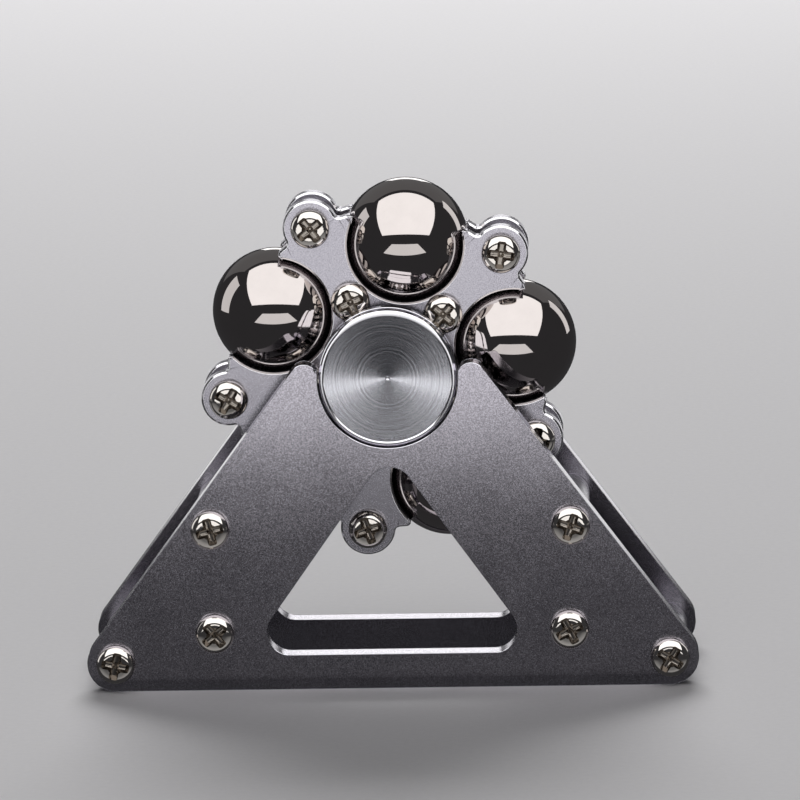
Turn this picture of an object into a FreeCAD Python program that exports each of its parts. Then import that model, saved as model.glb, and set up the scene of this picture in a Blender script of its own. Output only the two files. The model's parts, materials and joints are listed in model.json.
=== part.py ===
"""Five-ball finger spinner resting in a two-plate display stand.

Frame: +Z up, front faces -Y, origin on the ground under the middle of the stand.
The spinner's axis runs along Y. Lengths are in millimetres.
"""
import FreeCAD, Part
import math
import os

os.makedirs("parts", exist_ok=True)

# ---- display stand ----
PLATE_T = 3.0                  # thickness of each stand plate
STAND_GAP = 17.5               # clear space between the two plates
CORNER_X = 35.35               # centre of the rounded bottom corner
CORNER_R = 3.65                # bottom corner radius, which also sets the corner's height
LEG_TOP_X = 10.6               # centre of the rounded leg top
LEG_TOP_Z = 40.25
LEG_TOP_R = 1.8
LEG_TIP_FILLET = 0.5           # where the leg top runs into the notch
NOTCH_R = 8.95                 # round notch that carries the hub
NOTCH_Z = 40.1
WINDOW_HALF_WIDTH = 18.8       # where the window's slanted sides meet its floor
WINDOW_FLOOR_Z = 4.45
WINDOW_PEAK_Z = 30.9           # where the slanted sides would meet
WINDOW_CORNER_R = 3.0
STAND_CHAMFER = 0.35
POSTS = {"corner": (CORNER_X, CORNER_R), "base": (22.6, 7.5), "leg": (22.9, 21.0)}
POST_R = 2.5

# ---- screws, all M2.5 with a pan head ----
SHANK_R = 1.25
HOLE_R = 1.27                  # every screw hole and threaded bore
HEAD_R = 2.5
HEAD_H = 1.9
HEAD_SIDE_H = 0.7              # upright part of the head's side
HEAD_FLAT_R = 1.3              # flat on top of the head
SHOULDER_BULGE = 0.68          # fullness of the shoulder's curve, 0.71 is a quarter round
SLOT_HALF_SPAN = 1.85          # cross recess
SLOT_WIDTH = 1.1
SLOT_DEPTH = 0.9
SLOT_END_R = 0.3
SLOT_RUN_OUT = 0.5             # height of the slot's tool above the head
RECESS_TIP_DEPTH = 1.35
RECESS_MOUTH_R = 1.0
RECESS_TIP_R = 0.1
STAND_SHANK = 8.0
ROTOR_SHANK = 4.5

# ---- spinning rotor ----
HUB_Z = 40.0                   # height of the spinner's axis
ARMS = 5
FIRST_BALL_DEG = 9.64          # direction of the first ball, from +X towards +Z
BALL_R = 8.0
BALL_CIRCLE = 16.2
SEAT_CLEARANCE = 0.02
POCKET_R = 7.4                 # smaller than the ball, so the two plates hold it captive
STAR_R = 20.55                 # round rim of the star plates
LOBE_CIRCLE = 20.8             # outer screws and the lobes around them
LOBE_R = 3.5
LOBE_FILLET = 0.6
HORN_FILLET = 0.5
INNER_CIRCLE = 10.1            # inner screws
STAR_T = 2.3
STAR_BORE_R = 5.8
STAR_CHAMFER = 0.25
SPACER_R = 2.5
CARRIER_R = 7.85
BOSS_R = 1.85
WEB_W = 1.8

# ---- bearing, 1/4 x 1/2 x 3/16 inch ----
BEARING_R = 6.35
BEARING_BORE_R = 3.175
BEARING_W = 4.7625
RACE_CIRCLE = 4.7625           # circle on which the small balls run
RACE_BALL_R = 0.794
RACE_GROOVE_R = 0.82
RACE_BALLS = 10
INNER_RING_R = 4.25
OUTER_RING_R = 5.3
CAGE_WALL = (4.45, 5.1)
CAGE_HALF_W = 1.2
CAGE_POCKET_R = 0.86
SHIELD_R = (4.4, 5.5)
SHIELD_T = 0.3
SHIELD_SINK = 0.1              # shields sit this far inside the bearing's faces
FIT = 0.02                     # radial play of a seated round part

# ---- hub: two finger caps screwed together through the bearing ----
CAP_R = 8.75
CAP_BACK = 6.9                 # distances along the axis from the spinner's middle
CAP_FACE = 11.2
CAP_GROOVE = (8.5, 9.75)
CAP_GROOVE_DEPTH = 0.35
CAP_CHAMFER = 0.28
LIP_W = 0.3
DISH_DEPTH = 0.18
CENTRE_PIT_R = 0.3
CAP_BOSS_R = 3.9
BARREL_R = BEARING_BORE_R - 0.025
BARREL_END = 2.2
STUD_R = 1.5
STUD_BORE_R = 1.52
STUD_LENGTH = 8.6

# ---- worked out from the above ----
STAND_INNER = STAND_GAP / 2
STAND_OUTER = STAND_INNER + PLATE_T
ROTOR_GAP = BEARING_W                    # the star plates clamp the bearing between them
STAR_INNER = ROTOR_GAP / 2
STAR_OUTER = STAR_INNER + STAR_T
STEP_DEG = 360.0 / ARMS
BALL_DEGS = [FIRST_BALL_DEG + STEP_DEG * i for i in range(ARMS)]
ARM_DEGS = [deg + STEP_DEG / 2 for deg in BALL_DEGS]
RECESS_TURN = 37.0             # each screw stops at its own angle

Y_AXIS = FreeCAD.Vector(0, 1, 0)


def at(x, z, y=0.0):
    """Point given by its place in the front view and its depth."""
    return FreeCAD.Vector(x, y, z)


def polar(radius, degrees, centre_z=HUB_Z):
    """Front-view coordinates on a circle about the spinner's axis."""
    angle = math.radians(degrees)
    return radius * math.cos(angle), centre_z + radius * math.sin(angle)


def rod(radius, y_start, y_end, x=0.0, z=HUB_Z):
    """Cylinder along Y between two depths."""
    start = min(y_start, y_end)
    return Part.makeCylinder(radius, abs(y_end - y_start), at(x, z, start), Y_AXIS)


def ring(inner, outer, y_start, y_end):
    """Plain ring about the spinner's axis."""
    return rod(outer, y_start, y_end).cut(rod(inner, y_start, y_end))


def turned(profile, side=1.0, x=0.0, z=HUB_Z):
    """Solid of revolution about Y. A profile point is (radius, distance along side * Y)."""
    points = [at(x + radius, z, side * depth) for radius, depth in profile]
    face = Part.Face(Part.makePolygon(points + points[:1]))
    return face.revolve(at(x, z), Y_AXIS, 360)


def grouped(solids):
    """Several separate solids kept in one node."""
    return Part.makeCompound(solids)


def mirror_x(shape):
    return shape.mirror(FreeCAD.Vector(0, 0, 0), FreeCAD.Vector(1, 0, 0))


def mirror_y(shape):
    return shape.mirror(FreeCAD.Vector(0, 0, 0), Y_AXIS)


def flat_edges(shape, y):
    """Edges that lie in the plane at depth y."""
    return [e for e in shape.Edges if all(abs(p.y - y) < 1e-6 for p in e.discretize(5))]


def upright_edges(shape, places):
    """Straight edges along Y that pass through one of the given front-view places."""
    found = []
    for edge in shape.Edges:
        first, last = edge.Vertexes[0].Point, edge.Vertexes[-1].Point
        along_y = math.hypot(first.x - last.x, first.z - last.z) < 1e-6
        near = any(math.hypot(first.x - x, first.z - z) < 0.05 for x, z in places)
        if along_y and near:
            found.append(edge)
    return found


def circle_crossing(centre_a, radius_a, centre_b, radius_b):
    """Upper crossing point of two circles in the front view."""
    dx, dz = centre_b[0] - centre_a[0], centre_b[1] - centre_a[1]
    apart = math.hypot(dx, dz)
    along = (apart ** 2 + radius_a ** 2 - radius_b ** 2) / (2 * apart)
    across = math.sqrt(radius_a ** 2 - along ** 2)
    foot = (centre_a[0] + along * dx / apart, centre_a[1] + along * dz / apart)
    crossings = []
    for sign in (1, -1):
        crossings.append((foot[0] - sign * across * dz / apart, foot[1] + sign * across * dx / apart))
    return max(crossings, key=lambda point: point[1])


def rounded_face(corners, radius):
    """Face of a convex polygon, listed counter-clockwise, with every corner rounded."""
    edges = []
    ends = []
    count = len(corners)
    for i, corner in enumerate(corners):
        before, after = corners[i - 1], corners[(i + 1) % count]
        to_before = (at(*before) - at(*corner)).normalize()
        to_after = (at(*after) - at(*corner)).normalize()
        half = to_before.getAngle(to_after) / 2
        inward = (to_before + to_after).normalize()
        start = at(*corner) + to_before * (radius / math.tan(half))
        end = at(*corner) + to_after * (radius / math.tan(half))
        middle = at(*corner) + inward * (radius / math.sin(half) - radius)
        ends.append((start, end))
        edges.append(Part.Arc(start, middle, end).toShape())
    for i in range(count):
        edges.append(Part.LineSegment(ends[i][1], ends[(i + 1) % count][0]).toShape())
    return Part.Face(Part.Wire(Part.__sortEdges__(edges)))


def leg_tip():
    """Where the right leg top meets the notch."""
    return circle_crossing((LEG_TOP_X, LEG_TOP_Z), LEG_TOP_R, (0, NOTCH_Z), NOTCH_R)


def stand_outline():
    """Truncated triangle with rounded feet, rounded leg tops and the hub notch between them."""
    corner = at(CORNER_X, CORNER_R)
    leg_top = at(LEG_TOP_X, LEG_TOP_Z)
    rise = leg_top - corner
    up = FreeCAD.Vector(rise).normalize()
    out = FreeCAD.Vector(up.z, 0, -up.x)
    lean = (CORNER_R - LEG_TOP_R) / rise.Length
    normal = up * lean + out * math.sqrt(1 - lean ** 2)
    foot_end = corner + normal * CORNER_R
    leg_start = leg_top + normal * LEG_TOP_R
    leg_peak = leg_top + at(0, LEG_TOP_R)
    foot_start = at(CORNER_X, 0)
    foot_middle = corner + (normal + at(0, -1)).normalize() * CORNER_R
    tip = at(*leg_tip())
    half = [
        Part.Arc(foot_start, foot_middle, foot_end).toShape(),
        Part.LineSegment(foot_end, leg_start).toShape(),
        Part.Arc(leg_start, leg_peak, tip).toShape(),
    ]
    notch_floor = at(0, NOTCH_Z - NOTCH_R)
    tip_left = at(-tip.x, tip.z)
    shared = [
        Part.Arc(tip, notch_floor, tip_left).toShape(),
        Part.LineSegment(at(-CORNER_X, 0), foot_start).toShape(),
    ]
    mirrored = [mirror_x(edge) for edge in half]
    return Part.Face(Part.Wire(Part.__sortEdges__(half + mirrored + shared)))


def post_places():
    """Name and front-view place of every standoff."""
    places = []
    for side, sign in (("left", -1), ("right", 1)):
        for post, (x, z) in POSTS.items():
            places.append((side + "_" + post, sign * x, z))
    return places


def stand_front_plate():
    window = rounded_face(
        [(-WINDOW_HALF_WIDTH, WINDOW_FLOOR_Z), (WINDOW_HALF_WIDTH, WINDOW_FLOOR_Z), (0, WINDOW_PEAK_Z)],
        WINDOW_CORNER_R)
    face = stand_outline().cut(window).Faces[0]
    face.translate(at(0, 0, -STAND_OUTER))
    plate = face.extrude(at(0, 0, PLATE_T))
    tip_x, tip_z = leg_tip()
    plate = plate.makeFillet(LEG_TIP_FILLET, upright_edges(plate, [(tip_x, tip_z), (-tip_x, tip_z)]))
    rims = flat_edges(plate, -STAND_OUTER) + flat_edges(plate, -STAND_INNER)
    plate = plate.makeChamfer(STAND_CHAMFER, rims)
    for _, x, z in post_places():
        plate = plate.cut(rod(HOLE_R, -STAND_OUTER, -STAND_INNER, x, z))
    return plate


def stand_standoff(x, z):
    return rod(POST_R, -STAND_INNER, STAND_INNER, x, z).cut(rod(HOLE_R, -STAND_INNER, STAND_INNER, x, z))


def cross_recess(x, z, top, turn):
    """Shape cut from a screw's head: a centre cone and two crossed slots with rounded ends."""
    recess = Part.makeCone(RECESS_MOUTH_R, RECESS_TIP_R, RECESS_TIP_DEPTH, at(x, z, top), Y_AXIS)
    for angle in (turn, turn + 90):
        slot = Part.makeBox(2 * SLOT_HALF_SPAN, SLOT_DEPTH + SLOT_RUN_OUT, SLOT_WIDTH)
        slot.translate(FreeCAD.Vector(x - SLOT_HALF_SPAN, top - SLOT_RUN_OUT, z - SLOT_WIDTH / 2))
        corners = [e for e in slot.Edges if abs(e.tangentAt(e.FirstParameter).y) > 0.99]
        slot = slot.makeFillet(SLOT_END_R, corners)
        slot.rotate(at(x, z), Y_AXIS, angle)
        recess = recess.fuse(slot)
    return recess


def front_screw(x, z, seat, shank_length, turn):
    """Pan-head screw entering from the front, its head resting on a face at distance seat."""
    profile = [
        at(x, z, -seat),
        at(x + HEAD_R, z, -seat),
        at(x + HEAD_R, z, -seat - HEAD_SIDE_H),
        at(x + HEAD_FLAT_R, z, -seat - HEAD_H),
        at(x, z, -seat - HEAD_H),
    ]
    out = HEAD_FLAT_R + SHOULDER_BULGE * (HEAD_R - HEAD_FLAT_R)
    up = HEAD_SIDE_H + SHOULDER_BULGE * (HEAD_H - HEAD_SIDE_H)
    edges = [Part.LineSegment(profile[i], profile[i + 1]).toShape() for i in (0, 1, 3)]
    edges.append(Part.Arc(profile[2], at(x + out, z, -seat - up), profile[3]).toShape())
    edges.append(Part.LineSegment(profile[4], profile[0]).toShape())
    face = Part.Face(Part.Wire(Part.__sortEdges__(edges)))
    head = face.revolve(at(x, z), Y_AXIS, 360).cut(cross_recess(x, z, -seat - HEAD_H, turn))
    return head.fuse(rod(SHANK_R, -seat, -seat + shank_length, x, z)).removeSplitter()


def front_screws(places, seat, shank_length):
    screws = []
    for i, (x, z) in enumerate(places):
        screws.append(front_screw(x, z, seat, shank_length, RECESS_TURN * (i + 1)))
    return grouped(screws)


def rotor_front_plate():
    """Star with five screw lobes. The pockets break through its rim and leave two horns each."""
    plate = rod(STAR_R, -STAR_OUTER, -STAR_INNER)
    for deg in ARM_DEGS:
        plate = plate.fuse(rod(LOBE_R, -STAR_OUTER, -STAR_INNER, *polar(LOBE_CIRCLE, deg)))
    plate = plate.removeSplitter()
    lobe_half = math.degrees(math.acos((LOBE_CIRCLE ** 2 + STAR_R ** 2 - LOBE_R ** 2) / (2 * LOBE_CIRCLE * STAR_R)))
    joins = [polar(STAR_R, deg + side * lobe_half) for deg in ARM_DEGS for side in (1, -1)]
    plate = plate.makeFillet(LOBE_FILLET, upright_edges(plate, joins))
    for deg in BALL_DEGS:
        plate = plate.cut(rod(POCKET_R, -STAR_OUTER, -STAR_INNER, *polar(BALL_CIRCLE, deg)))
    horn_half = math.degrees(math.acos((BALL_CIRCLE ** 2 + STAR_R ** 2 - POCKET_R ** 2) / (2 * BALL_CIRCLE * STAR_R)))
    horns = [polar(STAR_R, deg + side * horn_half) for deg in BALL_DEGS for side in (1, -1)]
    plate = plate.makeFillet(HORN_FILLET, upright_edges(plate, horns))
    plate = plate.cut(rod(STAR_BORE_R, -STAR_OUTER, -STAR_INNER))
    plate = plate.makeChamfer(STAR_CHAMFER, flat_edges(plate, -STAR_OUTER))
    for deg in BALL_DEGS:
        x, z = polar(BALL_CIRCLE, deg)
        plate = plate.cut(Part.makeSphere(BALL_R + SEAT_CLEARANCE, at(x, z)))
    for deg in ARM_DEGS:
        for circle in (INNER_CIRCLE, LOBE_CIRCLE):
            plate = plate.cut(rod(HOLE_R, -STAR_OUTER, -STAR_INNER, *polar(circle, deg)))
    return plate


def weight_ball(degrees):
    return Part.makeSphere(BALL_R, at(*polar(BALL_CIRCLE, degrees)))


def outer_spacer(degrees):
    x, z = polar(LOBE_CIRCLE, degrees)
    return rod(SPACER_R, -STAR_INNER, STAR_INNER, x, z).cut(rod(HOLE_R, -STAR_INNER, STAR_INNER, x, z))


def bearing_carrier():
    """Ring that centres the bearing, with a threaded boss under each inner screw."""
    body = rod(CARRIER_R, -STAR_INNER, STAR_INNER)
    for deg in ARM_DEGS:
        web = Part.makeBox(INNER_CIRCLE, ROTOR_GAP, WEB_W, at(0, HUB_Z - WEB_W / 2, -STAR_INNER))
        web.rotate(at(0, HUB_Z), Y_AXIS, -deg)
        body = body.fuse([web, rod(BOSS_R, -STAR_INNER, STAR_INNER, *polar(INNER_CIRCLE, deg))])
    body = body.removeSplitter()
    body = body.cut(rod(BEARING_R + FIT, -STAR_INNER, STAR_INNER))
    for deg in ARM_DEGS:
        body = body.cut(rod(HOLE_R, -STAR_INNER, STAR_INNER, *polar(INNER_CIRCLE, deg)))
    return body


def race_groove():
    return Part.makeTorus(RACE_CIRCLE, RACE_GROOVE_R, at(0, HUB_Z), Y_AXIS)


def bearing_outer_ring():
    half = BEARING_W / 2
    body = ring(OUTER_RING_R, BEARING_R, -half, half).cut(race_groove())
    for side in (-1, 1):
        body = body.cut(rod(SHIELD_R[1] + FIT, side * half, side * (half - SHIELD_SINK - SHIELD_T - FIT)))
    return body


def bearing_front_shield():
    front = -BEARING_W / 2 + SHIELD_SINK
    return ring(SHIELD_R[0], SHIELD_R[1], front, front + SHIELD_T)


def bearing_inner_ring():
    half = BEARING_W / 2
    return ring(BEARING_BORE_R, INNER_RING_R, -half, half).cut(race_groove())


def race_ball_places():
    return [polar(RACE_CIRCLE, 360.0 / RACE_BALLS * i) for i in range(RACE_BALLS)]


def bearing_cage():
    body = ring(CAGE_WALL[0], CAGE_WALL[1], -CAGE_HALF_W, CAGE_HALF_W)
    for x, z in race_ball_places():
        body = body.cut(Part.makeSphere(CAGE_POCKET_R, at(x, z)))
    return body


def bearing_balls():
    return grouped([Part.makeSphere(RACE_BALL_R, at(x, z)) for x, z in race_ball_places()])


def cap_profile():
    """Half section of a finger cap, from its boss out to the rim and across its dished face."""
    groove_r = CAP_R - CAP_GROOVE_DEPTH
    lip_r = CAP_R - CAP_CHAMFER
    dish_r = lip_r - LIP_W
    return [
        (0, STAR_INNER),
        (CAP_BOSS_R, STAR_INNER),
        (CAP_BOSS_R, CAP_BACK),
        (lip_r, CAP_BACK),
        (CAP_R, CAP_BACK + CAP_CHAMFER),
        (CAP_R, CAP_GROOVE[0]),
        (groove_r, CAP_GROOVE[0]),
        (groove_r, CAP_GROOVE[1]),
        (CAP_R, CAP_GROOVE[1]),
        (CAP_R, CAP_FACE - CAP_CHAMFER),
        (lip_r, CAP_FACE),
        (dish_r, CAP_FACE - DISH_DEPTH),
        (CENTRE_PIT_R, CAP_FACE - DISH_DEPTH),
        (0, CAP_FACE - DISH_DEPTH - CENTRE_PIT_R),
    ]


def hub_front_cap():
    """Finger cap with the barrel that passes through the bearing and takes the stud."""
    cap = turned(cap_profile(), side=-1).fuse(rod(BARREL_R, -CAP_BACK, BARREL_END)).removeSplitter()
    return cap.cut(rod(STUD_BORE_R, STAR_INNER - STUD_LENGTH - FIT, BARREL_END))


def hub_rear_cap():
    """Finger cap with the threaded stud."""
    return turned(cap_profile()).fuse(rod(STUD_R, STAR_INNER - STUD_LENGTH, CAP_BACK)).removeSplitter()


def build_parts():
    """Every node by name."""
    outer_places = [polar(LOBE_CIRCLE, deg) for deg in ARM_DEGS]
    inner_places = [polar(INNER_CIRCLE, deg) for deg in ARM_DEGS]
    stand_places = [(x, z) for _, x, z in post_places()]
    mirrored = {
        "stand_front_plate": stand_front_plate(),
        "stand_front_screws": front_screws(stand_places, STAND_OUTER, STAND_SHANK),
        "rotor_front_plate": rotor_front_plate(),
        "rotor_front_outer_screws": front_screws(outer_places, STAR_OUTER, ROTOR_SHANK),
        "rotor_front_inner_screws": front_screws(inner_places, STAR_OUTER, ROTOR_SHANK),
        "bearing_front_shield": bearing_front_shield(),
    }
    parts = {
        "rotor_bearing_carrier": bearing_carrier(),
        "bearing_outer_ring": bearing_outer_ring(),
        "bearing_inner_ring": bearing_inner_ring(),
        "bearing_cage": bearing_cage(),
        "bearing_balls": bearing_balls(),
        "hub_front_cap": hub_front_cap(),
        "hub_rear_cap": hub_rear_cap(),
    }
    for name, shape in mirrored.items():
        parts[name] = shape
        parts[name.replace("front", "rear")] = mirror_y(shape)
    for name, x, z in post_places():
        parts["stand_standoff_" + name] = stand_standoff(x, z)
    for i in range(ARMS):
        parts["rotor_ball_" + str(i + 1)] = weight_ball(BALL_DEGS[i])
        parts["rotor_spacer_" + str(i + 1)] = outer_spacer(ARM_DEGS[i])
    return parts


for node, shape in build_parts().items():
    shape.exportStep("parts/" + node + ".step")
    box = shape.BoundBox
    print(f"{node:28s} solids {len(shape.Solids)} valid {shape.isValid()} volume {shape.Volume:9.2f} "
          f"x {box.XMin:7.2f} {box.XMax:7.2f} y {box.YMin:7.2f} {box.YMax:7.2f} z {box.ZMin:6.2f} {box.ZMax:6.2f}")
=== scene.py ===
"""Finger spinner with weight balls, lying in its two-plate stand: meshes, finishes, light and camera.

Pieces are measured in millimetres, lamps in metres.
"""
import json
import logging
import math
from dataclasses import dataclass, field
from enum import Enum
from typing import Any, Callable, Optional, Sequence, Union

import bmesh
import bpy
from mathutils import Matrix, Vector

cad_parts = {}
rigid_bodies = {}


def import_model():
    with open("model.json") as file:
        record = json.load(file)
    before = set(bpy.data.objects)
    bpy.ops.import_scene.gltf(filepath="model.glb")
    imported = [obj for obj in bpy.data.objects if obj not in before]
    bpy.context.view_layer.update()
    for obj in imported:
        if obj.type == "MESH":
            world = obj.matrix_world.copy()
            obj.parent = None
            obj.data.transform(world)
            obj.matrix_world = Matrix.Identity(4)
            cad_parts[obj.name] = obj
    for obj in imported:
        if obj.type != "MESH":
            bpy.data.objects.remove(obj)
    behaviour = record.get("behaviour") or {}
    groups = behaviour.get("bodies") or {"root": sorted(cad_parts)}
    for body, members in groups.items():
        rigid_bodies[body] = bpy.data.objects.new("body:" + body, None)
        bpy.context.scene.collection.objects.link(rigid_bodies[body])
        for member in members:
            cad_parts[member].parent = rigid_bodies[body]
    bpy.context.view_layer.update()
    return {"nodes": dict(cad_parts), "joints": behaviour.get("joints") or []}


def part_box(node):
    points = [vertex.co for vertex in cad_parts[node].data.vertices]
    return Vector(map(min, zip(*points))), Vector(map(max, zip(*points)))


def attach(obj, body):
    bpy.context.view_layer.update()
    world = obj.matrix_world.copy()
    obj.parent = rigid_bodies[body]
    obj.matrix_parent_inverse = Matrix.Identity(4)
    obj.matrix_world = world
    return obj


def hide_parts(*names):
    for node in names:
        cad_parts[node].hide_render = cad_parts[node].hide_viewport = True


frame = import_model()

LOG = logging.getLogger("spinner")
MM = 0.001
MERGE_MM = 0.0008
PICK_MM = 0.01
WEAR_MM = 0.04
HOLE_CHORD_MM = 0.006
HOLE_EDGES = 24
SHARP = math.radians(40)
ARMS = 5
PITCH = 360 / ARMS
Point = tuple[float, float]
Triple = tuple[float, float, float]
Piece = bpy.types.Object
Material = bpy.types.Material
Socket = bpy.types.NodeSocket


# ---------------------------------------------------------------- workbench


class Drawing(Enum):
    """Plane in which an outline is drawn."""

    FRONT = "x and z at one depth"
    SECTION = "distance from an axis and depth along it"


def middle(node: str) -> Vector:
    """Middle of a CAD node's box, in millimetres."""
    low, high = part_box(node)
    return (low + high) / 2 / MM


def span(node: str) -> Vector:
    """Size of a CAD node's box, in millimetres."""
    low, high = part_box(node)
    return (high - low) / MM


def between(centre: Point, toward: Point, distance: float) -> Point:
    """Point at a distance from one point towards another.

    Args:
        centre: where the distance starts.
        toward: the point aimed at.
        distance: how far to go.

    Returns:
        The point reached.
    """
    scale = distance / math.dist(centre, toward)
    return centre[0] + (toward[0] - centre[0]) * scale, centre[1] + (toward[1] - centre[1]) * scale


def polar(centre: Point, radius: float, degrees: float) -> Point:
    """Point on a circle, counted from +x towards +z."""
    angle = math.radians(degrees)
    return centre[0] + radius * math.cos(angle), centre[1] + radius * math.sin(angle)


def crossing(a: Point, ra: float, b: Point, rb: float) -> Point:
    """Upper crossing of two circles.

    Args:
        a: centre of the first circle.
        ra: its radius.
        b: centre of the second circle.
        rb: its radius.

    Returns:
        The crossing with the larger second coordinate.
    """
    apart = math.dist(a, b)
    along = (apart * apart + ra * ra - rb * rb) / (2 * apart)
    across = math.sqrt(ra * ra - along * along)
    foot = between(a, b, along)
    dx, dz = (b[0] - a[0]) / apart, (b[1] - a[1]) / apart
    ends = [(foot[0] - s * across * dz, foot[1] + s * across * dx) for s in (1, -1)]
    return max(ends, key=lambda p: p[1])


def corner_degrees(a: float, b: float, opposite: float) -> float:
    """Angle in degrees between two sides of a triangle."""
    return math.degrees(math.acos((a * a + b * b - opposite * opposite) / (2 * a * b)))


def beside(centre: Point, degrees: float, out: float, across: float) -> Point:
    """Point at a distance along a direction, then across it towards larger angles."""
    return polar(polar(centre, out, degrees), across, degrees + 90)


def mirrored(point: Point) -> Point:
    """The same point on the other side of the middle line."""
    return -point[0], point[1]


def clear() -> None:
    """Leave edit mode with nothing selected."""
    if bpy.context.object and bpy.context.object.mode != "OBJECT":
        bpy.ops.object.mode_set(mode="OBJECT")
    bpy.ops.object.select_all(action="DESELECT")


def focus(piece: Piece) -> None:
    """Select one piece and make it the active one."""
    clear()
    piece.select_set(True)
    bpy.context.view_layer.objects.active = piece


def blank(name: str) -> Piece:
    """Start an empty mesh and go into edit mode.

    Args:
        name: the piece's name.

    Returns:
        The new object at the origin.
    """
    clear()
    bpy.ops.mesh.primitive_plane_add(size=MM, location=(0, 0, 0))
    piece = bpy.context.active_object
    piece.name = piece.data.name = name
    bpy.ops.object.mode_set(mode="EDIT")
    bpy.ops.mesh.delete(type="VERT")
    return piece


def pick(piece: Piece, test: Callable[[Vector], bool]) -> None:
    """Select in edit mode the vertices whose place, in millimetres, passes a test."""
    bpy.ops.mesh.select_mode(type="VERT")
    bpy.ops.mesh.select_all(action="DESELECT")
    shape = bmesh.from_edit_mesh(piece.data)
    for vertex in shape.verts:
        vertex.select = test(vertex.co / MM)
    shape.select_flush(True)
    bmesh.update_edit_mesh(piece.data)


def seal() -> None:
    """Merge doubled vertices and turn all faces outwards."""
    bpy.ops.mesh.select_all(action="SELECT")
    bpy.ops.mesh.remove_doubles(threshold=MERGE_MM * MM)
    bpy.ops.mesh.normals_make_consistent(inside=False)


def modify(piece: Piece, kind: str, **settings: Any) -> None:
    """Add a modifier with its settings and apply it.

    Args:
        piece: the mesh object.
        kind: the modifier's type.
        **settings: values set on the modifier.
    """
    focus(piece)
    bpy.ops.object.modifier_add(type=kind)
    modifier = piece.modifiers[-1]
    for name, value in settings.items():
        setattr(modifier, name, value)
    bpy.ops.object.modifier_apply(modifier=modifier.name)


def chamfer(piece: Piece, width: float, slot: int = 0, clamp: bool = False) -> None:
    """Chamfer the sharp edges and wear the chamfer's own edges a little.

    Args:
        piece: the piece, in edit mode or not.
        width: width of the chamfer.
        slot: material slot of the chamfer.
        clamp: narrow the chamfer where edges are too short for it.
    """
    for size, segments in ((width, 1), (WEAR_MM, 2)):
        focus(piece)
        bpy.ops.object.shade_smooth_by_angle(angle=SHARP)
        modify(piece, "BEVEL", width=size * MM, segments=segments, limit_method="ANGLE",
               angle_limit=SHARP, harden_normals=segments > 1, material=slot,
               use_clamp_overlap=clamp and segments == 1)


def smooth(piece: Piece, limit: float = 35.0) -> None:
    """Smooth the shading below a limit and weight it by area."""
    focus(piece)
    bpy.ops.object.shade_smooth_by_angle(angle=math.radians(limit))
    modify(piece, "WEIGHTED_NORMAL", keep_sharp=True, weight=100)


def cut(piece: Piece, tool: Piece) -> None:
    """Apply a tool body to a piece and throw the tool away."""
    modify(piece, "BOOLEAN", object=tool, operation="DIFFERENCE", solver="EXACT")
    bpy.data.objects.remove(tool)


def copy(piece: Piece, name: str, placing: Matrix) -> Piece:
    """Copy a piece with its own mesh, move it and bake its place into the mesh.

    Args:
        piece: the piece to copy.
        name: the copy's name.
        placing: where the copy goes.

    Returns:
        The copy, its object at the origin.
    """
    focus(piece)
    bpy.ops.object.duplicate(linked=False)
    twin = bpy.context.active_object
    twin.name = twin.data.name = name
    twin.matrix_world = placing
    bpy.ops.object.transform_apply(location=True, rotation=True, scale=True)
    return twin


def join(pieces: Sequence[Piece], name: str) -> Piece:
    """Join pieces into one object."""
    clear()
    for piece in pieces:
        piece.select_set(True)
    bpy.context.view_layer.objects.active = pieces[0]
    bpy.ops.object.join()
    pieces[0].name = pieces[0].data.name = name
    return pieces[0]


def hand_over(piece: Piece, body: str, nodes: Sequence[str]) -> None:
    """Fix a finished piece to its moving body and to the CAD nodes it stands for.

    Args:
        piece: the finished piece.
        body: CAD body it rides on.
        nodes: CAD nodes it replaces.
    """
    clear()
    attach(piece, body)
    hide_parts(*nodes)
    LOG.info("%-24s %6d faces, rides on %s, stands for %s",
             piece.name, len(piece.data.polygons), body, ", ".join(nodes))


class Pen:
    """Draws a chain of edges in edit mode by extruding and spinning its last vertex."""

    def __init__(self, drawing: Drawing, origin: Sequence[float]) -> None:
        """Choose the plane.

        Args:
            drawing: the kind of plane.
            origin: the plane's zero point.
        """
        self.drawing = drawing
        self.origin = Vector(origin)
        self.tip: Point = (0.0, 0.0)

    def place(self, point: Point) -> Vector:
        """Model place, in metres, of a point in the drawing."""
        a, b = point
        step = Vector((a, 0, b)) if self.drawing is Drawing.FRONT else Vector((a, b, 0))
        return (self.origin + step) * MM

    def start(self, point: Point) -> None:
        """Put down the first vertex."""
        bpy.ops.mesh.select_all(action="DESELECT")
        bpy.ops.mesh.primitive_plane_add(size=0.1 * MM, location=self.place(point))
        bpy.ops.mesh.merge(type="CENTER")
        self.tip = point

    def line(self, *points: Point) -> None:
        """Draw straight edges through the points."""
        for point in points:
            step = self.place(point) - self.place(self.tip)
            bpy.ops.mesh.extrude_region_move(TRANSFORM_OT_translate={"value": step})
            self.tip = point

    def arc(self, centre: Point, end: Point, turn: int, chord: float = 0.004) -> None:
        """Draw an arc from the tip.

        Args:
            centre: the arc's centre.
            end: where it ends.
            turn: 1 from the drawing's first direction towards its second, -1 the other way.
            chord: largest distance between arc and edges.
        """
        radius = math.dist(centre, self.tip)
        first = math.atan2(self.tip[1] - centre[1], self.tip[0] - centre[0])
        last = math.atan2(end[1] - centre[1], end[0] - centre[0])
        sweep = (last - first) * turn % math.tau
        steps = max(2, math.ceil(sweep / (2 * math.acos(1 - chord / radius))))
        axis = Vector((0, turn, 0)) if self.drawing is Drawing.FRONT else Vector((0, 0, -turn))
        bpy.ops.mesh.spin(steps=steps, angle=sweep, center=self.place(centre), axis=axis)
        self.tip = end


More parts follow.
